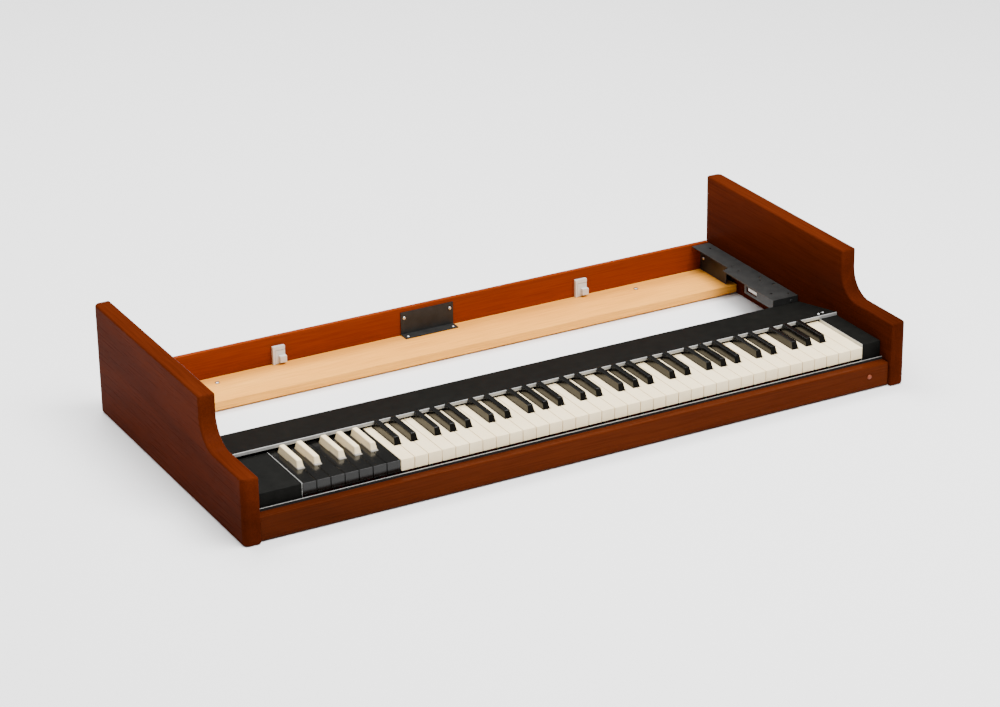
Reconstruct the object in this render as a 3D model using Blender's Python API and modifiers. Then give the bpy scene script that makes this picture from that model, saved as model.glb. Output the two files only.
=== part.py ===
"""Lower manual of a two-manual organ: a 73-note keyboard (twelve preset keys and
five octaves) in an open wooden frame, with the brackets that the upper manual rests on.

Metres, +Z up. Origin at the middle of the frame's footprint, on the surface it
stands on. The keys run along +X, bass at -X, and the player sits at -Y.
"""

import math

import bmesh
import bpy
from mathutils import Matrix, Vector

MM = 0.001

# ---------------------------------------------------------------- driving dimensions, mm
PITCH = 23.5              # width of one natural key with its gap (164.5 mm to the octave)
NATURALS = 43             # 7 preset naturals, then 36
KEY_X0 = -481.75          # left boundary of the first natural
KEY_FRONT = -254.0        # front faces of the naturals
KEY_TOP = 66.5            # playing surface
KEY_BOTTOM = 47.3         # lower edge of the naturals' fronts
KEY_GAP = 1.0             # between two naturals
STEM_REAR = -122.0        # naturals' full height ends here, under the cover
WELL_FRONT = -204.5       # front of the cut-outs beside the sharps
SHARP_FRONT = -203.5      # foot of a sharp's front face
SHARP_FRONT_TOP = -199.0  # top of a sharp's front face
SHARP_REAR = -130.5
SHARP_TOP = 78.5
SHARP_W = 12.0            # width at the foot
SHARP_TOP_W = 8.6         # width at the top
SHARP_OFFSET = {1: -2.5, 2: 2.5, 4: -3.5, 5: 0.0, 6: 3.5}  # from the boundary to its left

PIVOT_Y = -39.0           # axis of every key
PIVOT_Z = 47.5
ROD_R = 1.5
TAIL_Z = (46.2, 52.5)
TAIL_REAR = -33.0
SPINE_Z = (53.8, 55.6)

HALF = 592.75             # half the overall length
PANEL = 28.0              # thickness of a side panel
INNER = HALF - PANEL      # inner faces of the side panels
FIT = 0.35                # gap between two pieces that meet
FRONT = -284.0
REAR = 284.0
HEIGHT = 188.0
ARM_TOP = 110.3           # top of the low arm beside the keys
S_Y = -135.0              # front face of the high part of a side panel
S_R = 45.7                # radius of the sweep down to the arm

RAIL = (-278.0, -259.9, 2.0, 41.5)     # y, y, z, z
BOARD = (274.6, REAR - 0.5, 3.0, 66.5)
SHELF = (180.0, 274.2, 3.0, 18.0)
TRAY = (-259.5, -13.0, 3.0, 6.0)
FLOOR = 6.35              # what stands on the tray starts here

COVER_FRONT = (-125.5, 76.0)
COVER_REAR = (-13.0, 54.5)
SHEET = 1.5               # cover, lip and bracket sheet
BLOCK_L = (-INNER + FIT, -482.4, 67.0)
BLOCK_R = (529.1, INNER - FIT, 71.0)
BLOCK_Y = (-253.0, -128.3)

SEAT_TOP = 65.0           # top of the support brackets
SEAT_DROP = 17.0
SEAT_Y = (-11.0, 272.0)
SEAT_STEP = 147.0         # the seat is narrower behind this
SEAT_IN_FRONT = 514.0
SEAT_IN_REAR = 528.5
SEAT_HOLES = ((551.5, 248, 2.6), (538, 154, 2.2), (537, 132, 2.6), (553, 90, 2.6),
              (546, 77, 2.6), (557, 51, 4.0), (529, 17, 2.6), (555, 4, 2.2))
CLIPS = {"left": -279.0, "right": 300.0}

for o in list(bpy.data.objects):
    bpy.data.objects.remove(o, do_unlink=True)

PARTS = bpy.data.collections.new("lower_manual")
CUTTERS = bpy.data.collections.new("cutters")
bpy.context.scene.collection.children.link(PARTS)
bpy.context.scene.collection.children.link(CUTTERS)

COLOURS = {
    "panel_wood": ((0.155, 0.030, 0.008), 0.28, 0.0),
    "rail_wood": ((0.200, 0.045, 0.012), 0.30, 0.0),
    "shelf_wood": ((0.760, 0.420, 0.145), 0.50, 0.0),
    "black_paint": ((0.020, 0.020, 0.018), 0.42, 0.0),
    "black_steel": ((0.030, 0.030, 0.029), 0.38, 1.0),
    "plain_steel": ((0.560, 0.570, 0.580), 0.30, 1.0),
    "ivory_plastic": ((0.870, 0.810, 0.680), 0.25, 0.0),
    "black_plastic": ((0.012, 0.012, 0.012), 0.22, 0.0),
    "strip_grey": ((0.320, 0.320, 0.300), 0.45, 0.0),
    "felt_red": ((0.300, 0.030, 0.030), 0.95, 0.0),
    "board_green": ((0.030, 0.150, 0.060), 0.45, 0.0),
    "contact_rubber": ((0.180, 0.180, 0.190), 0.80, 0.0),
    "clip_plastic": ((0.760, 0.750, 0.700), 0.50, 0.0),
}


def material(slot):
    mat = bpy.data.materials.get(slot)
    if mat is None:
        colour, rough, metal = COLOURS[slot]
        mat = bpy.data.materials.new(slot)
        mat.use_nodes = True
        shader = mat.node_tree.nodes["Principled BSDF"]
        shader.inputs["Base Color"].default_value = (*colour, 1.0)
        shader.inputs["Roughness"].default_value = rough
        shader.inputs["Metallic"].default_value = metal
    return mat


def add(name, mesh, slot=None, where=PARTS):
    obj = bpy.data.objects.new(name, mesh)
    where.objects.link(obj)
    if slot:
        mesh.materials.clear()
        mesh.materials.append(material(slot))
    return obj


def tool(name, mesh):
    obj = add(name, mesh, where=CUTTERS)
    obj.hide_render = True
    obj.display_type = "WIRE"
    return obj


def boxes_mesh(name, boxes):
    """One mesh of separate boxes, each ((x0, x1), (y0, y1), (z0, z1)) in mm."""
    bm = bmesh.new()
    for (x0, x1), (y0, y1), (z0, z1) in boxes:
        place = Matrix.Translation(Vector((x0 + x1, y0 + y1, z0 + z1)) * 0.5 * MM)
        size = Matrix.Diagonal((*(Vector((x1 - x0, y1 - y0, z1 - z0)) * MM), 1.0))
        bmesh.ops.create_cube(bm, size=1.0, matrix=place @ size)
    mesh = bpy.data.meshes.new(name)
    bm.to_mesh(mesh)
    bm.free()
    return mesh


PLANES = {
    "xy": Matrix.Identity(4),                                                   # outline in plan
    "yz": Matrix(((0, 0, 1, 0), (1, 0, 0, 0), (0, 1, 0, 0), (0, 0, 0, 1))),     # seen along X
    "xz": Matrix(((1, 0, 0, 0), (0, 0, -1, 0), (0, 1, 0, 0), (0, 0, 0, 1))),    # seen along Y
}


def outline_mesh(name, outlines, plane, low, high):
    """Flat outlines (mm) in one plane, made solid from low to high along its normal."""
    curve = bpy.data.curves.new(name, "CURVE")
    curve.dimensions = "2D"
    curve.fill_mode = "BOTH"
    curve.extrude = (high - low) * 0.5 * MM
    for points in outlines:
        spline = curve.splines.new("POLY")
        spline.points.add(len(points) - 1)
        for point, (u, v) in zip(spline.points, points):
            point.co = (u * MM, v * MM, 0.0, 1.0)
        spline.use_cyclic_u = True
    obj = bpy.data.objects.new(name, curve)
    bpy.context.scene.collection.objects.link(obj)
    middle = (low + high) * 0.5 * MM
    if plane == "xz":
        middle = -middle
    obj.matrix_world = PLANES[plane] @ Matrix.Translation((0.0, 0.0, middle))
    bpy.context.view_layer.update()
    depsgraph = bpy.context.evaluated_depsgraph_get()
    mesh = bpy.data.meshes.new_from_object(obj.evaluated_get(depsgraph))
    mesh.transform(obj.matrix_world)
    bm = bmesh.new()
    bm.from_mesh(mesh)
    bmesh.ops.remove_doubles(bm, verts=bm.verts, dist=1e-6)
    bmesh.ops.recalc_face_normals(bm, faces=bm.faces)
    bm.to_mesh(mesh)
    bm.free()
    bpy.data.objects.remove(obj, do_unlink=True)
    bpy.data.curves.remove(curve)
    mesh.name = name
    return mesh


def boolean(obj, mesh, operation):
    other = tool(f"{obj.name}_{operation.lower()}_{len(obj.modifiers)}", mesh)
    mod = obj.modifiers.new(operation.title(), "BOOLEAN")
    mod.operation = operation
    mod.solver = "EXACT"
    mod.object = other
    return mod


def union(obj, boxes):
    return boolean(obj, boxes_mesh("join", boxes), "UNION")


def cut(obj, boxes):
    return boolean(obj, boxes_mesh("cut", boxes), "DIFFERENCE")


def round_edges(obj, width, segments=2, angle=40.0):
    mod = obj.modifiers.new("Bevel", "BEVEL")
    mod.width = width * MM
    mod.segments = segments
    mod.limit_method = "ANGLE"
    mod.angle_limit = math.radians(angle)
    mod.use_clamp_overlap = True


def box(name, slot, x, y, z, bevel=0.0, segments=1):
    obj = add(name, boxes_mesh(name, [(x, y, z)]), slot)
    if bevel:
        round_edges(obj, bevel, segments)
    return obj


def circle(u, v, r, n=12):
    return [(u + r * math.cos(2 * math.pi * i / n), v + r * math.sin(2 * math.pi * i / n)) for i in range(n)]


def put_origin(obj, x, y, z):
    """Moves the object's origin to a point (mm) and leaves its shape where it is."""
    at = Vector((x, y, z)) * MM
    obj.data.transform(Matrix.Translation(-at))
    obj.location = at


# ---------------------------------------------------------------- wooden frame
def panel_profile():
    pts = [(FRONT, 0.0), (REAR, 0.0), (REAR, HEIGHT), (S_Y, HEIGHT)]
    steps = 9
    cy, cz = S_Y - S_R, ARM_TOP + S_R
    for i in range(steps + 1):
        a = math.radians(90.0 * i / steps)
        pts.append((cy + S_R * math.cos(a), cz - S_R * math.sin(a)))
    pts.append((FRONT, ARM_TOP))
    return pts


for side, name in ((-1, "left_side_panel"), (1, "right_side_panel")):
    lo, hi = sorted((side * INNER, side * HALF))
    panel = add(name, outline_mesh(name, [panel_profile()], "yz", lo, hi), "panel_wood")
    round_edges(panel, 3.0, 2)

span = (-INNER + FIT, INNER - FIT)
box("front_rail", "rail_wood", span, RAIL[:2], RAIL[2:], 1.5, 2)
box("rear_board", "rail_wood", span, BOARD[:2], BOARD[2:], 1.2, 2)
box("rear_shelf", "shelf_wood", span, SHELF[:2], SHELF[2:], 0.6)
box("base_tray", "black_steel", span, TRAY[:2], TRAY[2:])

# ---------------------------------------------------------------- black trim round the keys
slope = (COVER_REAR[1] - COVER_FRONT[1]) / (COVER_REAR[0] - COVER_FRONT[0])
drop = SHEET * math.hypot(1.0, slope)


def cover_outer(y):
    return COVER_FRONT[1] + slope * (y - COVER_FRONT[0])


cover_profile = [
    (COVER_FRONT[0], 70.3), (COVER_FRONT[0] + SHEET, 70.3),
    (COVER_FRONT[0] + SHEET, cover_outer(COVER_FRONT[0] + SHEET) - drop),
    (COVER_REAR[0] - SHEET, cover_outer(COVER_REAR[0] - SHEET) - drop),
    (COVER_REAR[0] - SHEET, FLOOR), (COVER_REAR[0], FLOOR),
    COVER_REAR, COVER_FRONT,
]
add("key_cover", outline_mesh("key_cover", [cover_profile], "yz", *span), "black_paint")
box("cover_edge_strip", "strip_grey", span, (-127.9, -125.85), (70.5, 76.0), 0.4)
box("left_end_block", "black_paint", BLOCK_L[:2], BLOCK_Y, (FLOOR, BLOCK_L[2]), 0.8)
box("right_end_block", "black_paint", BLOCK_R[:2], BLOCK_Y, (FLOOR, BLOCK_R[2]), 0.8)
lip = [(-259.5, FLOOR), (-253.6, FLOOR), (-253.6, FLOOR + SHEET), (-258.0, FLOOR + SHEET),
       (-258.0, 45.0), (-259.5, 45.0)]
add("front_lip", outline_mesh("front_lip", [lip], "yz", *span), "black_steel")

# ---------------------------------------------------------------- keys


def boundary(i):
    return KEY_X0 + PITCH * i


def sharp_centre(i):
    """Centre of the sharp at boundary i, or None where the octave has none."""
    off = SHARP_OFFSET.get(i % 7)
    return None if off is None or i <= 0 or i >= NATURALS - 1 else boundary(i) + off


def stem(i):
    """The natural's two sides between the sharps."""
    left, right = boundary(i) + KEY_GAP / 2, boundary(i + 1) - KEY_GAP / 2
    if sharp_centre(i) is not None:
        left = sharp_centre(i) + SHARP_W / 2 + KEY_GAP
    if sharp_centre(i + 1) is not None:
        right = sharp_centre(i + 1) - SHARP_W / 2 - KEY_GAP
    return left, right


def notch(xs):
    """Open slots under the tails, which sit over the pivot rod."""
    return [((x - 5.0, x + 5.0), (PIVOT_Y - 1.9, PIVOT_Y + 1.9), (TAIL_Z[0] - 2.0, PIVOT_Z + ROD_R + 0.5)) for x in xs]


def natural_outline(i):
    x0, x1 = boundary(i) + KEY_GAP / 2, boundary(i + 1) - KEY_GAP / 2
    left, right = stem(i)
    pts = [(x0, KEY_FRONT), (x1, KEY_FRONT)]
    if right < x1 - 0.1:
        pts += [(x1, WELL_FRONT), (right, WELL_FRONT)]
    pts += [(right, STEM_REAR), (left, STEM_REAR)]
    if left > x0 + 0.1:
        pts += [(left, WELL_FRONT), (x0, WELL_FRONT)]
    return pts


def naturals(name, slot, keys):
    """Hollow naturals, open below, each with a narrow tail; several share a hidden rear bar."""
    obj = add(name, outline_mesh(name, [natural_outline(i) for i in keys], "xy", KEY_BOTTOM, KEY_TOP), slot)
    mids = [sum(stem(i)) / 2 for i in keys]
    cut(obj, [((boundary(i) + 3.0, boundary(i + 1) - 3.0), (KEY_FRONT + 2.5, WELL_FRONT - 3.0),
               (KEY_BOTTOM - 5.0, KEY_TOP - 3.0)) for i in keys])
    cut(obj, [((stem(i)[0] + 2.4, stem(i)[1] - 2.4), (WELL_FRONT - 4.0, STEM_REAR - 4.0),
               (KEY_BOTTOM - 6.0, KEY_TOP - 3.5)) for i in keys])
    union(obj, [((x - 4.5, x + 4.5), (STEM_REAR - 6.0, TAIL_REAR), TAIL_Z) for x in mids])
    cut(obj, notch(mids))
    if len(keys) > 1:
        union(obj, [((x - 3.5, x + 3.5), (-43.0, TAIL_REAR - 0.5), (TAIL_Z[1] - 1.0, SPINE_Z[1] - 0.6)) for x in mids])
        union(obj, [((mids[0] - 3.0, mids[-1] + 3.0), (-42.0, TAIL_REAR - 1.0), SPINE_Z)])
    put_origin(obj, sum(mids) / len(mids), PIVOT_Y, PIVOT_Z)


def sharp_cage(centres):
    """Tapered sharps: a block whose top face is drawn up, narrowed and set back."""
    bm = bmesh.new()
    for c in centres:
        size = Vector((SHARP_W, SHARP_REAR - SHARP_FRONT, KEY_TOP - 50.0)) * MM
        place = Matrix.Translation(Vector((c, (SHARP_REAR + SHARP_FRONT) / 2, (KEY_TOP + 50.0) / 2)) * MM)
        made = bmesh.ops.create_cube(bm, size=1.0, matrix=place @ Matrix.Diagonal((*size, 1.0)))
        faces = {f for v in made["verts"] for f in v.link_faces}
        top = max(faces, key=lambda f: f.calc_center_median().z)
        grown = bmesh.ops.extrude_face_region(bm, geom=[top])
        verts = [g for g in grown["geom"] if isinstance(g, bmesh.types.BMVert)]
        bmesh.ops.delete(bm, geom=[top], context="FACES_ONLY")
        for v in verts:
            v.co.x = c * MM + (v.co.x - c * MM) * SHARP_TOP_W / SHARP_W
            v.co.z = SHARP_TOP * MM
            if v.co.y < (SHARP_FRONT + 1.0) * MM:
                v.co.y = SHARP_FRONT_TOP * MM
    bmesh.ops.recalc_face_normals(bm, faces=bm.faces)
    mesh = bpy.data.meshes.new("sharps")
    bm.to_mesh(mesh)
    bm.free()
    return mesh


def sharps(name, slot, at):
    """Hollow sharps on tails; several share a hidden rear bar over the naturals' tails."""
    mids = [sharp_centre(i) for i in at]
    obj = add(name, sharp_cage(mids), slot)
    cut(obj, [((x - 3.6, x + 3.6), (SHARP_FRONT + 5.0, SHARP_REAR - 5.0), (44.0, SHARP_TOP - 5.0)) for x in mids])
    union(obj, [((x - 4.0, x + 4.0), (SHARP_REAR - 4.0, TAIL_REAR), TAIL_Z) for x in mids])
    cut(obj, notch(mids))
    if len(at) > 1:
        union(obj, [((x - 3.0, x + 3.0), (-58.5, -48.5), (TAIL_Z[1] - 1.0, SPINE_Z[1] - 0.6)) for x in mids])
        union(obj, [((mids[0] - 2.5, mids[-1] + 2.5), (-57.5, -49.5), SPINE_Z)])
    put_origin(obj, sum(mids) / len(mids), PIVOT_Y, PIVOT_Z)


NATURAL_NAMES = "cdefgab"
SHARP_NAMES = {1: "c_sharp", 2: "d_sharp", 4: "f_sharp", 5: "g_sharp", 6: "a_sharp"}

for octave in range(6):
    first = octave * 7
    white = list(range(first, first + 7))
    black = [first + i for i in (1, 2, 4, 5, 6)]
    if octave == 0:
        for i in white:
            naturals(f"preset_key_{NATURAL_NAMES[i % 7]}", "black_plastic", [i])
        for i in black:
            sharps(f"preset_key_{SHARP_NAMES[i % 7]}", "ivory_plastic", [i])
    elif octave == 3:
        for i in white:
            naturals(f"octave3_key_{NATURAL_NAMES[i % 7]}", "ivory_plastic", [i])
        for i in black:
            sharps(f"octave3_key_{SHARP_NAMES[i % 7]}", "black_plastic", [i])
    else:
        naturals(f"octave{octave}_naturals", "ivory_plastic", white)
        sharps(f"octave{octave}_sharps", "black_plastic", black)
naturals("top_key_c", "ivory_plastic", [42])

ALL_MIDS = [(sum(stem(i)) / 2, "n") for i in range(NATURALS)]
ALL_SHARPS = [sharp_centre(i) for i in range(NATURALS) if sharp_centre(i) is not None]
EVERY = sorted([m for m, _ in ALL_MIDS] + ALL_SHARPS)

# ---------------------------------------------------------------- chassis under the keys
BED = (-480.5, 527.4)
frame_profile = [
    (-241.0, FLOOR), (-30.0, FLOOR), (-30.0, FLOOR + SHEET), (-44.5, FLOOR + SHEET), (-44.5, 44.2),
    (-31.5, 44.2), (-31.5, 45.7), (-46.0, 45.7), (-46.0, FLOOR + SHEET), (-239.5, FLOOR + SHEET),
    (-239.5, 32.5), (-216.0, 32.5), (-216.0, 34.0), (-241.0, 34.0),
]
key_frame = add("key_frame", outline_mesh("key_frame", [frame_profile], "yz", *BED), "plain_steel")
hat = [(-190.75, 7.0), (-189.25, 7.0), (-189.25, 32.5), (-101.5, 32.5), (-101.5, 7.0), (-100.0, 7.0),
       (-100.0, 34.0), (-190.75, 34.0)]
boolean(key_frame, outline_mesh("hat", [hat], "yz", BED[0] + 0.3, BED[1] - 0.3), "UNION")
union(key_frame, [((m - 2.0, m + 2.0), (-241.4, -239.1), (24.0, 53.0)) for m in
                  [boundary(i) + PITCH / 2 for i in range(NATURALS)]])
union(key_frame, [((m - 1.5, m + 1.5), (-191.1, -188.9), (24.0, 60.0)) for m in ALL_SHARPS])

box("key_stop_felt", "felt_red", (BED[0] + 1.0, BED[1] - 1.0), (-236.0, -220.0), (34.3, 37.6))
box("contact_board", "board_green", (BED[0] + 2.0, BED[1] - 2.0), (-170.0, -102.5), (34.3, 35.9))

domes = [(BED[0] + 4.0, 36.2), (BED[1] - 4.0, 36.2), (BED[1] - 4.0, 38.0)]
for m in reversed(EVERY):
    domes += [(m + 3.5, 38.0), (m + 3.5, 41.0), (m - 3.5, 41.0), (m - 3.5, 38.0)]
domes.append((BED[0] + 4.0, 38.0))
add("contact_strip", outline_mesh("contact_strip", [domes], "xz", -138.0, -128.0), "contact_rubber")

fingers = [(BED[0] + 2.0, 0.0), (BED[1] - 2.0, 0.0), (BED[1] - 2.0, 9.0)]
for m in reversed(EVERY):
    fingers += [(m + 2.2, 9.0), (m + 2.2, 45.0), (m - 2.2, 45.0), (m - 2.2, 9.0)]
fingers.append((BED[0] + 2.0, 9.0))
springs = add("spring_comb", outline_mesh("spring_comb", [fingers], "xy", 0.0, 0.5), "plain_steel")
springs.data.transform(Matrix.Translation(Vector((0.0, -46.4, 35.6)) * MM)
                       @ Matrix.Rotation(math.radians(-8.0), 4, "X") @ Matrix.Diagonal((1.0, -1.0, -1.0, 1.0)))

rod = bpy.data.meshes.new("key_pivot_rod")
bm = bmesh.new()
length = (BED[1] - BED[0]) * MM
bmesh.ops.create_cone(bm, cap_ends=True, segments=12, radius1=ROD_R * MM, radius2=ROD_R * MM, depth=length,
                      matrix=Matrix.Translation(Vector(((BED[0] + BED[1]) / 2, PIVOT_Y, PIVOT_Z)) * MM)
                      @ Matrix.Rotation(math.radians(90), 4, "Y"))
bm.to_mesh(rod)
bm.free()
rod.shade_smooth()
rod.set_sharp_from_angle(angle=math.radians(40))
add("key_pivot_rod", rod, "plain_steel")

# ---------------------------------------------------------------- brackets that carry the upper manual


def seat(side, name):
    """Folded seat: a holed top plate, a flange on the panel, a front and a side flange, and a web on the shelf."""
    outer = INNER - 0.5
    y0, y1 = SEAT_Y
    plate = [(SEAT_IN_FRONT, y0), (outer, y0), (outer, y1), (SEAT_IN_REAR, y1), (SEAT_IN_REAR, SEAT_STEP + 6.0),
             (SEAT_IN_FRONT, SEAT_STEP)]
    holes = [circle(*h) for h in SEAT_HOLES]
    flip = [[(side * u, v) for u, v in line] for line in [plate, *holes]]
    obj = add(name, outline_mesh(name, flip, "xy", SEAT_TOP - SHEET, SEAT_TOP), "black_steel")

    def wall(x, y, z):
        x = tuple(sorted((side * x[0], side * x[1])))
        union(obj, [(x, y, z)])

    wall((outer - SHEET, outer - 0.02), (y0 + 0.02, y1 - 0.02), (44.0, SEAT_TOP - 0.4))
    wall((SEAT_IN_FRONT + 0.02, outer - 0.5), (y0 + 0.03, y0 + SHEET), (SEAT_TOP - SEAT_DROP, SEAT_TOP - 0.3))
    wall((SEAT_IN_FRONT + 0.03, SEAT_IN_FRONT + SHEET), (y0 + 0.6, 78.0), (SEAT_TOP - SEAT_DROP + 0.05, SEAT_TOP - 0.35))
    wall((546.5, 548.0), (187.0, y1 - 0.05), (18.35, SEAT_TOP - 0.45))
    x = tuple(sorted((side * (SEAT_IN_FRONT - 1.0), side * (SEAT_IN_FRONT + 3.0))))
    cut(obj, [(x, (40.0, 72.0), (52.0, 61.5))])


seat(-1, "left_support_bracket")
seat(1, "right_support_bracket")

ell = [(BOARD[0] - FIT, 18.35), (BOARD[0] - FIT, 59.5), (BOARD[0] - FIT - SHEET, 59.5),
       (BOARD[0] - FIT - SHEET, 18.35 + SHEET), (BOARD[0] - FIT - 20.0, 18.35 + SHEET), (BOARD[0] - FIT - 20.0, 18.35)]
add("centre_bracket", outline_mesh("centre_bracket", [ell], "yz", -50.0, 50.0), "black_steel")

# ---------------------------------------------------------------- flat-cable clips on the rear board
CLIP_Y = BOARD[0] - FIT
for side, c in CLIPS.items():
    base = box(f"{side}_clip_base", "clip_plastic", (c - 11.0, c + 11.0), (CLIP_Y - 1.6, CLIP_Y), (18.4, 50.0))
    union(base, [((c - 10.98, c + 10.98), (CLIP_Y - 6.0, CLIP_Y - 1.0), (43.6, 49.98))])
    union(base, [((c - 10.97, c - 7.6), (CLIP_Y - 5.98, CLIP_Y - 0.9), (18.42, 45.0))])
    gate = box(f"{side}_clip_gate", "clip_plastic", (c - 7.1, c + 10.9), (CLIP_Y - 5.9, CLIP_Y - 4.0), (19.0, 42.4))
    union(gate, [((c - 1.0, c + 10.88), (CLIP_Y - 13.0, CLIP_Y - 4.5), (23.0, 34.0))])
    put_origin(gate, c, CLIP_Y - 4.95, 41.4)

# ---------------------------------------------------------------- screws that show


def screw_head(name, at, axis, r, height):
    """A turned pan head on the surface that it clamps."""
    bm = bmesh.new()
    profile = [(0.0, height), (r * 0.55, height * 0.93), (r * 0.9, height * 0.6), (r, height * 0.2), (r, 0.0), (0.0, 0.0)]
    verts = [bm.verts.new((u * MM, 0.0, v * MM)) for u, v in profile]
    for a, b in zip(verts, verts[1:]):
        bm.edges.new((a, b))
    mesh = bpy.data.meshes.new(name)
    bm.to_mesh(mesh)
    bm.free()
    obj = add(name, mesh, "plain_steel")
    obj.location = Vector(at) * MM
    obj.rotation_euler = {"z": (0.0, 0.0, 0.0), "-y": (math.radians(90), 0.0, 0.0)}[axis]
    mod = obj.modifiers.new("Screw", "SCREW")
    mod.axis = "Z"
    mod.steps = mod.render_steps = 16
    mod.use_merge_vertices = True
    mod.merge_threshold = 0.00005
    mod.use_smooth_shade = True


screw_head("left_shelf_screw", (-400.0, 250.0, 18.35), "z", 4.2, 2.0)
screw_head("right_shelf_screw", (400.0, 250.0, 18.35), "z", 4.2, 2.0)
screw_head("rail_screw", (527.0, RAIL[0] - FIT, 23.5), "-y", 4.0, 1.6)
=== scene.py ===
import math
import bmesh
import bpy
from mathutils import Matrix, Vector


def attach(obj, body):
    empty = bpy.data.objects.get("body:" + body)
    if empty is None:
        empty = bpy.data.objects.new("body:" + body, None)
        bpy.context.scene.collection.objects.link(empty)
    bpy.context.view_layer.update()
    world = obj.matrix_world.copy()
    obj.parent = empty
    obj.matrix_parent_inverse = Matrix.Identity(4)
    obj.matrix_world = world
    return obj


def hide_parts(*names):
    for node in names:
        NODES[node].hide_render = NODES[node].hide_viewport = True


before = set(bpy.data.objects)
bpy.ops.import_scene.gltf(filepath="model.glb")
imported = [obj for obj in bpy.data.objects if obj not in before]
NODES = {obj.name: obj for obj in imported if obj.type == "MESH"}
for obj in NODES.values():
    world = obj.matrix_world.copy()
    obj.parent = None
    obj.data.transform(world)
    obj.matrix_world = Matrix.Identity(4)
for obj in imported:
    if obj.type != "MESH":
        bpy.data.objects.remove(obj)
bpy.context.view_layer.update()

MM = 0.001

# ------------------------------------------------------------------ materials
def base_material(name, colour, rough, metal=0.0, coat=0.0, coat_rough=0.1, ior=1.5, sheen=0.0):
    mat = bpy.data.materials.new(name)
    mat.use_nodes = True
    sh = mat.node_tree.nodes["Principled BSDF"]
    sh.inputs["Base Color"].default_value = (*colour, 1)
    sh.inputs["Roughness"].default_value = rough
    sh.inputs["Metallic"].default_value = metal
    sh.inputs["Coat Weight"].default_value = coat
    sh.inputs["Coat Roughness"].default_value = coat_rough
    sh.inputs["IOR"].default_value = ior
    sh.inputs["Sheen Weight"].default_value = sheen
    return mat, sh


def node(mat, kind, **values):
    n = mat.node_tree.nodes.new(kind)
    for key, value in values.items():
        if key in n.inputs:
            n.inputs[key].default_value = value
        else:
            setattr(n, key, value)
    return n


def noise(mat, scale, detail=4.0, stretch=(1, 1, 1), rough=0.5, distortion=0.0):
    co = node(mat, "ShaderNodeTexCoord")
    mp = node(mat, "ShaderNodeMapping")
    mp.inputs["Scale"].default_value = stretch
    tex = node(mat, "ShaderNodeTexNoise")
    tex.inputs["Scale"].default_value = scale
    tex.inputs["Detail"].default_value = detail
    tex.inputs["Roughness"].default_value = rough
    tex.inputs["Distortion"].default_value = distortion
    mat.node_tree.links.new(co.outputs["Object"], mp.inputs["Vector"])
    mat.node_tree.links.new(mp.outputs["Vector"], tex.inputs["Vector"])
    return tex.outputs["Fac"]


def ramp(mat, fac, stops):
    r = node(mat, "ShaderNodeValToRGB")
    els = r.color_ramp.elements
    while len(els) < len(stops):
        els.new(0.5)
    for e, (p, c) in zip(els, stops):
        e.position = p
        e.color = (*c, 1)
    mat.node_tree.links.new(fac, r.inputs["Fac"])
    return r.outputs["Color"]


def spread(mat, fac, low, high):
    m = node(mat, "ShaderNodeMapRange")
    m.inputs["From Min"].default_value = 0.3
    m.inputs["From Max"].default_value = 0.7
    m.inputs["To Min"].default_value = low
    m.inputs["To Max"].default_value = high
    mat.node_tree.links.new(fac, m.inputs["Value"])
    return m.outputs["Result"]


def bump(mat, sh, fac, strength, distance):
    b = node(mat, "ShaderNodeBump")
    b.inputs["Strength"].default_value = strength
    b.inputs["Distance"].default_value = distance
    mat.node_tree.links.new(fac, b.inputs["Height"])
    mat.node_tree.links.new(b.outputs["Normal"], sh.inputs["Normal"])


def mixed(mat, a, b, fac, mode="MULTIPLY"):
    m = node(mat, "ShaderNodeMix")
    m.data_type = "RGBA"
    m.blend_type = mode
    m.inputs[0].default_value = fac
    mat.node_tree.links.new(a, m.inputs[6])
    mat.node_tree.links.new(b, m.inputs[7])
    return m.outputs[2]


def wood(name, dark, mid, light, along, rough=0.3, pores=0.12, ior=1.5):
    """Lacquered wood, its grain running along one axis."""
    mat, sh = base_material(name, mid, rough, ior=ior)
    fine = [110.0, 110.0, 110.0]
    wide = [9.0, 9.0, 9.0]
    i = "xyz".index(along)
    fine[i], wide[i] = 3.0, 0.9
    cloud = ramp(mat, noise(mat, 1.0, 4.0, wide, 0.55, 0.6), [(0.28, dark), (0.5, mid), (0.74, light)])
    lines = noise(mat, 4.0, 6.0, fine, 0.62)
    grain = ramp(mat, lines, [(0.35, (0.72, 0.66, 0.62)), (0.62, (1.0, 1.0, 1.0))])
    mat.node_tree.links.new(mixed(mat, cloud, grain, 0.75), sh.inputs["Base Color"])
    mat.node_tree.links.new(spread(mat, lines, rough - 0.04, rough + 0.08), sh.inputs["Roughness"])
    bump(mat, sh, lines, pores, 0.0002)
    return mat


def moulded(name, a, b, rough, metal=0.0, coat=0.0, scale=60.0, grain=900.0, strength=0.06, ior=1.5, sheen=0.0):
    """A skin with slight cloudy colour and a fine surface grain."""
    mat, sh = base_material(name, a, rough, metal, coat=coat, ior=ior, sheen=sheen)
    mat.node_tree.links.new(ramp(mat, noise(mat, scale, 3.0), [(0.3, a), (0.7, b)]), sh.inputs["Base Color"])
    fine = noise(mat, grain, 2.0)
    mat.node_tree.links.new(spread(mat, fine, max(rough - 0.03, 0.02), rough + 0.04), sh.inputs["Roughness"])
    bump(mat, sh, fine, strength, 0.0001)
    return mat


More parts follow.
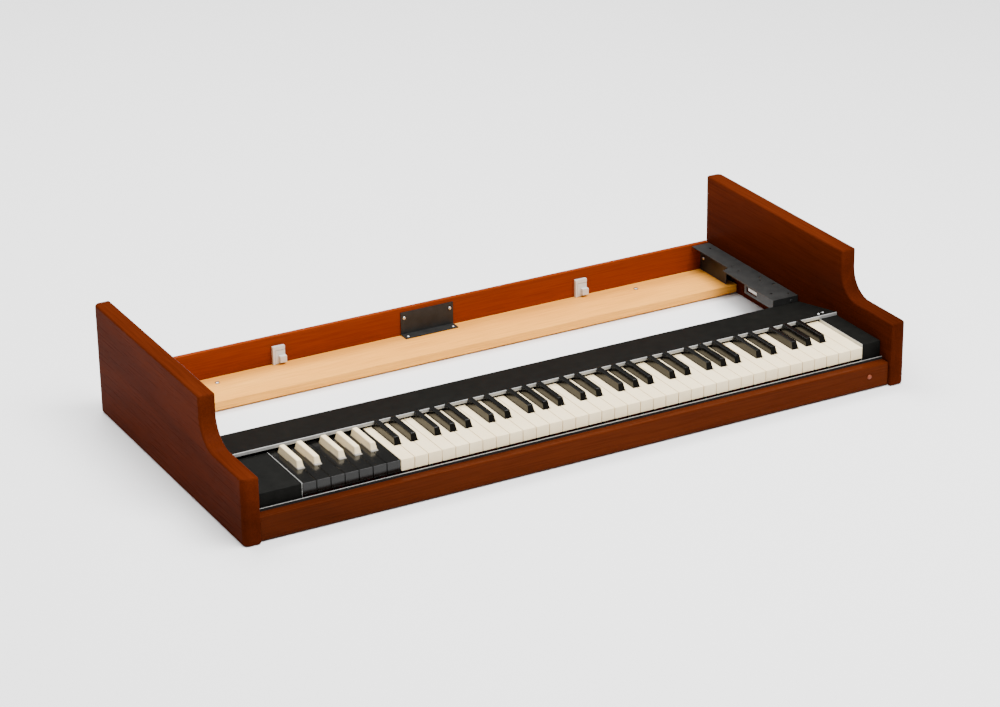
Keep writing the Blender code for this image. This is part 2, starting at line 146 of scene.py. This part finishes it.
M = {
    "panel": wood("panel_lacquer", (0.034, 0.0056, 0.0014), (0.056, 0.0085, 0.0020), (0.084, 0.0135, 0.0030), "y", 0.28, 0.04, 1.025),
    "rail": wood("rail_lacquer", (0.038, 0.0066, 0.0014), (0.056, 0.0096, 0.0020), (0.080, 0.0140, 0.0030), "x", 0.28, 0.04, 1.07),
    # rear board lacquer: its brighter base is partly the board's own more orange tone and partly painted bounce
    # light from the shelf
    "back": wood("board_lacquer_with_painted_bounce", (0.145, 0.0200, 0.0030), (0.190, 0.0280, 0.0042), (0.245, 0.0390, 0.0060), "x", 0.28, 0.04, 1.08),
    "shelf": wood("shelf_bare", (0.740, 0.290, 0.034), (0.850, 0.365, 0.050), (0.920, 0.440, 0.075), "x", 0.5, 0.2, 1.2),
    "black": moulded("black_satin", (0.0048, 0.0048, 0.0043), (0.0070, 0.0070, 0.0062), 0.44, grain=1400.0, strength=0.10, ior=1.08),
    "steel_black": moulded("powder_coat", (0.014, 0.014, 0.0135), (0.021, 0.021, 0.020), 0.44, grain=1600.0, strength=0.18, ior=1.25),
    "steel": moulded("zinc_plate", (0.50, 0.51, 0.52), (0.62, 0.62, 0.60), 0.30, 1.0, scale=30.0, grain=700.0),
    "ivory": moulded("ivory_keys", (0.88, 0.715, 0.440), (0.92, 0.765, 0.490), 0.28, ior=1.3, scale=18.0, grain=1200.0, strength=0.03),
    "ebony": moulded("black_keys", (0.0030, 0.0028, 0.0025), (0.0048, 0.0044, 0.0038), 0.15, scale=25.0, grain=1200.0, strength=0.03, ior=1.33),
    # painted highlight: a pale metallic grey standing in for the glints on the edges of the black lip and the end
    # blocks
    "painted_highlight": moulded("painted_edge_highlight", (0.42, 0.42, 0.40), (0.52, 0.52, 0.50), 0.40, 0.6, scale=20.0, grain=900.0),
    "plug": moulded("rail_plug", (0.16, 0.030, 0.010), (0.20, 0.045, 0.016), 0.45, scale=40.0, grain=600.0, ior=1.3),
    "strip": moulded("grey_strip", (0.26, 0.26, 0.25), (0.33, 0.33, 0.32), 0.45, grain=1200.0, strength=0.12),
    "foot": moulded("sharp_foot", (0.24, 0.22, 0.19), (0.30, 0.27, 0.23), 0.45),
    "felt": moulded("red_felt", (0.22, 0.015, 0.015), (0.32, 0.030, 0.028), 0.95, grain=2200.0, strength=0.6, sheen=0.5),
    "board": moulded("circuit_board", (0.015, 0.085, 0.030), (0.030, 0.130, 0.050), 0.4, scale=140.0),
    "rubber": moulded("dome_rubber", (0.13, 0.13, 0.14), (0.17, 0.17, 0.18), 0.8),
    "clip": moulded("clip_nylon", (0.55, 0.54, 0.50), (0.63, 0.62, 0.58), 0.48, scale=90.0, strength=0.10),
}


def dress(obj, key):
    obj.data.materials.clear()
    obj.data.materials.append(M[key])


for key, names in {
    "rail": ("front_rail",), "back": ("rear_board",), "shelf": ("rear_shelf",),
    "black": ("key_cover", "left_end_block", "right_end_block"),
    "steel_black": ("base_tray", "front_lip", "left_support_bracket", "right_support_bracket", "centre_bracket"),
    "steel": ("key_frame", "key_pivot_rod", "spring_comb", "left_shelf_screw", "right_shelf_screw"), "plug": ("rail_screw",),
    "strip": ("cover_edge_strip",), "felt": ("key_stop_felt",), "board": ("contact_board",), "rubber": ("contact_strip",),
    "clip": ("left_clip_base", "right_clip_base", "left_clip_gate", "right_clip_gate"),
}.items():
    for n in names:
        for s in NODES[n].material_slots:
            s.material = M[key]


# ------------------------------------------------------------------ mesh helpers
def finish_mesh(name, bm, key, sharp=35.0):
    bmesh.ops.recalc_face_normals(bm, faces=bm.faces)
    mesh = bpy.data.meshes.new(name)
    bm.to_mesh(mesh)
    bm.free()
    mesh.shade_smooth()
    mesh.set_sharp_from_angle(angle=math.radians(sharp))
    obj = bpy.data.objects.new(name, mesh)
    bpy.context.scene.collection.objects.link(obj)
    mesh.materials.append(M[key])
    even = obj.modifiers.new("Normals", "WEIGHTED_NORMAL")
    even.weight = 100
    even.keep_sharp = True
    return obj


def prism(bm, points, low, high, axis="z"):
    """A flat outline (mm) drawn up along an axis."""
    def at(u, v, w):
        return Vector({"z": (u, v, w), "x": (w, u, v), "y": (u, w, v)}[axis]) * MM
    verts = [bm.verts.new(at(u, v, low)) for u, v in points]
    face = bm.faces.new(verts)
    grown = bmesh.ops.extrude_face_region(bm, geom=[face])
    shift = at(0, 0, high) - at(0, 0, low)
    top = [g for g in grown["geom"] if isinstance(g, bmesh.types.BMVert)]
    bmesh.ops.translate(bm, verts=top, vec=shift)
    return verts + top


def cube(bm, x, y, z):
    return prism(bm, [(x[0], y[0]), (x[1], y[0]), (x[1], y[1]), (x[0], y[1])], z[0], z[1])


def soften(bm, width, segments=3, angle=30.0, pick=None):
    edges = [e for e in bm.edges if len(e.link_faces) == 2 and e.calc_face_angle(0) > math.radians(angle) and (pick is None or pick(e))]
    bmesh.ops.bevel(bm, geom=edges, offset=width * MM, segments=segments, profile=0.5, affect="EDGES", clamp_overlap=True)


# ------------------------------------------------------------------ side panels
HALF, INNER, FRONT, REAR, HEIGHT = 592.75, 564.75, -284.0, 284.0, 188.0
ARM, SY, SR = 110.3, -135.0, 45.7


def panel(side, name, cad):
    pts = [(FRONT, 0.0), (REAR, 0.0), (REAR, HEIGHT), (SY, HEIGHT)]
    for i in range(19):
        a = math.radians(5.0 * i)
        pts.append((SY - SR + SR * math.cos(a), ARM + SR - SR * math.sin(a)))
    pts.append((FRONT, ARM))
    bm = bmesh.new()
    prism(bm, pts, min(side * INNER, side * HALF), max(side * INNER, side * HALF), "x")
    bmesh.ops.recalc_face_normals(bm, faces=bm.faces)

    def corner(e):
        a, b = (v.co for v in e.verts)
        return (abs(a.x - b.x) < 1e-6 and abs(abs(a.x) - HALF * MM) < 1e-6 and abs(a.y - b.y) < 1e-6
                and min(abs(a.y - FRONT * MM), abs(a.y - REAR * MM)) < 1e-6)
    soften(bm, 10.0, 5, 30.0, corner)
    soften(bm, 3.4, 4, 28.0)
    obj = finish_mesh(name, bm, "panel", 40.0)
    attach(obj, "root")
    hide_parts(cad)


panel(-1, "left_cheek", "left_side_panel")
panel(1, "right_cheek", "right_side_panel")

# ------------------------------------------------------------------ keys
PITCH, X0 = 23.5, -481.75
OFF = {1: -2.5, 2: 2.5, 4: -3.5, 5: 0.0, 6: 3.5}


def edge(i):
    return X0 + PITCH * i


def centre(i):
    off = OFF.get(i % 7)
    return None if off is None or i <= 0 or i >= 42 else edge(i) + off


def tail(bm, x0, x1, front):
    """A key's hidden tail, notched from below where it sits over the pivot rod."""
    prism(bm, [(front, 46.2), (-40.9, 46.2), (-40.9, 50.0), (-37.1, 50.0), (-37.1, 46.2), (-33.0, 46.2), (-33.0, 52.5), (front, 52.5)], x0, x1, "x")


def pocket(bm, x, y, low, roof):
    """A blind pocket in the flat underside, clear of the guide pin under the key."""
    def underside():
        return [f for f in bm.faces if all(abs(v.co.z - low * MM) < 1e-6 for v in f.verts)]
    for axis, at in ((0, x[0]), (0, x[1]), (1, y[0]), (1, y[1])):
        flat = underside()
        parts = {*flat, *(e for f in flat for e in f.edges), *(v for f in flat for v in f.verts)}
        where, toward = Vector((0, 0, low * MM)), Vector((0, 0, 0))
        where[axis], toward[axis] = at * MM, 1.0
        bmesh.ops.bisect_plane(bm, geom=list(parts), plane_co=where, plane_no=toward)
    mid = Vector((sum(x) / 2, sum(y) / 2, low)) * MM
    patch = min(underside(), key=lambda f: (f.calc_center_median() - mid).length)
    grown = bmesh.ops.extrude_face_region(bm, geom=[patch])
    bmesh.ops.delete(bm, geom=[patch], context="FACES_ONLY")
    bmesh.ops.translate(bm, verts=[g for g in grown["geom"] if isinstance(g, bmesh.types.BMVert)], vec=Vector((0, 0, (roof - low) * MM)))


def natural(name, i, body, cad, key):
    x0, x1 = edge(i) + 0.45, edge(i + 1) - 0.45
    well = -204.6 if i > 6 else -207.4
    left, right = x0, x1
    if centre(i) is not None:
        left = centre(i) + 6.9
    if centre(i + 1) is not None:
        right = centre(i + 1) - 6.9
    pts = [(x0, -254.0), (x1, -254.0)]
    if right < x1 - 0.1:
        pts += [(x1, well), (right, well)]
    pts += [(right, -122.0), (left, -122.0)]
    if left > x0 + 0.1:
        pts += [(left, well), (x0, well)]
    bm = bmesh.new()
    prism(bm, pts, 47.3, 66.5)
    bmesh.ops.recalc_face_normals(bm, faces=bm.faces)
    soften(bm, 0.7, 3)
    pocket(bm, (edge(i) + 7.75, edge(i) + 15.75), (-245.5, -235.5), 47.3, 63.8)
    mid = (left + right) / 2
    tail(bm, mid - 4.5, mid + 4.5, -123.0)
    obj = finish_mesh(name, bm, key, 38.0)
    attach(obj, body)
    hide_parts(cad)


def sharp(name, i, body, cad, key, slot):
    c = centre(i)
    preset = i < 7
    bm = bmesh.new()
    rear = -133.0 if preset else -129.5
    verts = cube(bm, (c - 6.0, c + 6.0), (-203.5, rear), (66.0, 78.5))
    for v in verts:
        if v.co.z > 0.07:
            v.co.x = c * MM + (v.co.x - c * MM) * (8.8 / 12.0)
            if v.co.y < -0.2:
                v.co.y = -199.0 * MM
            elif preset:
                v.co.y -= 3.0 * MM
    bmesh.ops.recalc_face_normals(bm, faces=bm.faces)
    # the moulding is hollow underneath, so that it can sink over its guide
    back = -137.5 if preset else -135.5
    under = min(bm.faces, key=lambda f: f.calc_center_median().z)
    bmesh.ops.inset_individual(bm, faces=[under], thickness=1.0 * MM)
    for v in under.verts:
        v.co.x = c * MM + math.copysign(3.6 * MM, v.co.x - c * MM)
        v.co.y = (-198.5 if v.co.y < -0.165 else back) * MM
    roof = bmesh.ops.extrude_face_region(bm, geom=[under])
    bmesh.ops.delete(bm, geom=[under], context="FACES_ONLY")
    bmesh.ops.translate(bm, verts=[g for g in roof["geom"] if isinstance(g, bmesh.types.BMVert)], vec=Vector((0, 0, 7.5 * MM)))
    soften(bm, 2.0 if preset else 0.9, 4, 30.0, lambda e: min(abs(v.co.x - c * MM) for v in e.verts) > 0.004 and (min(v.co.z for v in e.verts) > 0.0661 or abs(e.verts[0].co.z - e.verts[1].co.z) > 0.005))
    tail(bm, c - 4.0, c + 4.0, rear - 1.0)
    for x0, x1, y0, y1 in ((-5.85, -3.6, -203.3, rear - 0.2), (3.6, 5.85, -203.3, rear - 0.2), (-3.6, 3.6, -203.3, -198.5), (-3.6, 3.6, back, rear - 0.2)):
        cube(bm, (c + x0, c + x1), (y0, y1), (50.0, 66.3))
    obj = finish_mesh(name, bm, key, 38.0)
    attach(obj, body)
    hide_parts(cad)
    if preset:
        bm = bmesh.new()
        cube(bm, (c - 6.2, c + 6.2), (-206.6, -193.2), (58.0, 67.6))
        bmesh.ops.recalc_face_normals(bm, faces=bm.faces)
        soften(bm, 1.6, 3)
        for x in (-6.2, 5.0):
            cube(bm, (c + x, c + x + 1.2), (-196.0, -170.0), (58.0, 67.2))
        foot = finish_mesh(name + "_foot", bm, "foot", 38.0)
        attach(foot, body)


SN = {1: "c_sharp", 2: "d_sharp", 4: "f_sharp", 5: "g_sharp", 6: "a_sharp"}
for i in range(43):
    o = i // 7
    if o == 0:
        cad = "preset_key_" + "cdefgab"[i]
    elif o == 3:
        cad = "octave3_key_" + "cdefgab"[i % 7]
    elif i == 42:
        cad = "top_key_c"
    else:
        cad = f"octave{o}_naturals"
    natural(f"natural_{i:02d}", i, cad, cad, "ebony" if o == 0 else "ivory")
    if centre(i) is not None:
        cad = {0: "preset_key_", 3: "octave3_key_"}.get(o)
        cad = cad + SN[i % 7] if cad else f"octave{o}_sharps"
        sharp(f"sharp_{i:02d}", i, cad, cad, "ivory" if o == 0 else "ebony", "ivory_plastic" if o == 0 else "black_plastic")

# ------------------------------------------------------------------ small fittings


def lathe(name, at, toward, profile, key, cross=True):
    """A turned head: profile of (radius, height) in mm from the middle outwards, on a surface facing toward."""
    bm = bmesh.new()
    n = 28
    rings = []
    for r, h in profile:
        rings.append([bm.verts.new(Vector((r * math.cos(2 * math.pi * k / n), r * math.sin(2 * math.pi * k / n), h)) * MM)
                      for k in range(n)])
    for a, b in zip(rings, rings[1:]):
        for k in range(n):
            bm.faces.new((a[k], a[(k + 1) % n], b[(k + 1) % n], b[k]))
    bm.faces.new(rings[0])
    bm.faces.new(list(reversed(rings[-1])))
    rot = Vector((0, 0, 1)).rotation_difference(Vector(toward)).to_matrix().to_4x4()
    bm.transform(Matrix.Translation(Vector(at) * MM) @ rot)
    obj = finish_mesh(name, bm, key, 50.0)
    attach(obj, "root")
    return obj


PAN = [(0.5, 0.7), (1.1, 1.3), (1.9, 1.45), (2.7, 1.1), (3.2, 0.4), (3.3, 0.0)]


def scaled(k, rise=1.0):
    return [(r * k, h * rise) for r, h in PAN]


for n, (at, toward, k, key) in {
    "cover_screw_a": ((534.0, -118.0, 74.75), (0, -0.19, 1), 0.7, "steel"),
    "cover_screw_b": ((545.0, -114.0, 74.0), (0, -0.19, 1), 0.7, "steel"),
    "bracket_plate_screw_l": ((-43.5, 272.7, 49.0), (0, -1, 0), 0.9, "steel"),
    "bracket_plate_screw_r": ((43.5, 272.7, 49.0), (0, -1, 0), 0.9, "steel"),
    "bracket_foot_screw_l": ((-43.0, 260.5, 19.85), (0, 0, 1), 0.9, "steel"),
    "bracket_foot_screw_r": ((43.0, 260.5, 19.85), (0, 0, 1), 0.9, "steel"),
    "seat_front_screw": ((551.0, -11.0, 57.0), (0, -1, 0), 0.95, "steel_black"),
    "seat_web_screw": ((546.5, 262.0, 42.0), (-1, 0, 0), 0.9, "steel"),
}.items():
    lathe(n, at, toward, scaled(k), key)
# a pale strip along the top edge of the front lip: a painted highlight where light catches the black lip's edge
bm = bmesh.new()
cube(bm, (-564.2, 564.2), (-259.45, -258.05), (44.6, 45.0 + 0.5))
bmesh.ops.recalc_face_normals(bm, faces=bm.faces)
soften(bm, 0.3, 2)
lip_highlight_strip = finish_mesh("lip_painted_highlight", bm, "painted_highlight")
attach(lip_highlight_strip, "root")
# thin pale slats along the inner edges of both end blocks: painted highlights where light catches the blocks' top
# edges
bm = bmesh.new()
for x in (-481.95, 528.95):
    cube(bm, (x - 0.4, x + 0.4), (-252.5, -129.0), (40.0, 67.4 if x < 0 else 71.5))
bmesh.ops.recalc_face_normals(bm, faces=bm.faces)
soften(bm, 0.25, 2)
block_highlight_strips = finish_mesh("block_edge_painted_highlights", bm, "painted_highlight")
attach(block_highlight_strips, "root")
bm = bmesh.new()
cube(bm, (516.2, 533.0), (42.0, 70.0), (54.0, 61.0))
bmesh.ops.recalc_face_normals(bm, faces=bm.faces)
soften(bm, 1.2, 3)
bush = finish_mesh("seat_bush", bm, "clip")
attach(bush, "root")

# ------------------------------------------------------------------ floor, light, camera
bm = bmesh.new()
bmesh.ops.create_grid(bm, x_segments=1, y_segments=1, size=12.0)
mesh = bpy.data.meshes.new("floor")
bm.to_mesh(mesh)
bm.free()
floor = bpy.data.objects.new("floor", mesh)
floor.location.z = -0.0005
bpy.context.scene.collection.objects.link(floor)
mat, sh = base_material("floor_white", (0.90, 0.90, 0.90), 0.8)
floor.data.materials.append(mat)

world = bpy.data.worlds.new("studio")
bpy.context.scene.world = world
world.use_nodes = True
tree = world.node_tree
back = tree.nodes["Background"]
back.inputs["Strength"].default_value = 1.0
gen = tree.nodes.new("ShaderNodeTexCoord")
sep = tree.nodes.new("ShaderNodeSeparateXYZ")
sky = tree.nodes.new("ShaderNodeValToRGB")
for spot, value in ((0.0, 0.12), (0.45, 0.12), (0.75, 1.6), (1.0, 2.6)):
    at = sky.color_ramp.elements.new(spot) if spot not in (0.0, 1.0) else sky.color_ramp.elements[0 if spot == 0.0 else -1]
    at.position = spot
    at.color = (value, value, value, 1)
tree.links.new(gen.outputs["Generated"], sep.inputs["Vector"])
tree.links.new(sep.outputs["Z"], sky.inputs["Fac"])
tree.links.new(sky.outputs["Color"], back.inputs["Color"])


def area(name, at, target, size, power):
    light = bpy.data.lights.new(name, "AREA")
    light.shape = "RECTANGLE"
    light.size, light.size_y = size
    light.energy = power
    obj = bpy.data.objects.new(name, light)
    obj.location = at
    obj.rotation_euler = (Vector(target) - Vector(at)).to_track_quat("-Z", "Y").to_euler()
    bpy.context.scene.collection.objects.link(obj)


area("key_light", (0.6, -1.4, 3.2), (0, 0, 0), (2.6, 1.8), 250)
area("rear_light", (-0.4, 2.0, 3.2), (0, 0, 0), (3.0, 1.4), 150)

AZ, EL, ROLL = math.radians(28.34), math.radians(23.54), math.radians(-0.80)
fwd = Vector((math.sin(AZ) * math.cos(EL), math.cos(AZ) * math.cos(EL), -math.sin(EL)))
right = fwd.cross(Vector((0, 0, 1))).normalized()
up = right.cross(fwd)
r2 = math.cos(ROLL) * right + math.sin(ROLL) * up
u2 = -math.sin(ROLL) * right + math.cos(ROLL) * up
cam_data = bpy.data.cameras.new("camera")
cam_data.sensor_width = 36.0
cam_data.lens = 110.9
cam = bpy.data.objects.new("camera", cam_data)
bpy.context.scene.collection.objects.link(cam)
m = Matrix((r2, u2, -fwd)).transposed().to_4x4()
m.translation = Vector((-2.1825, -4.033, 2.0745))
cam.matrix_world = m
bpy.context.scene.camera = cam
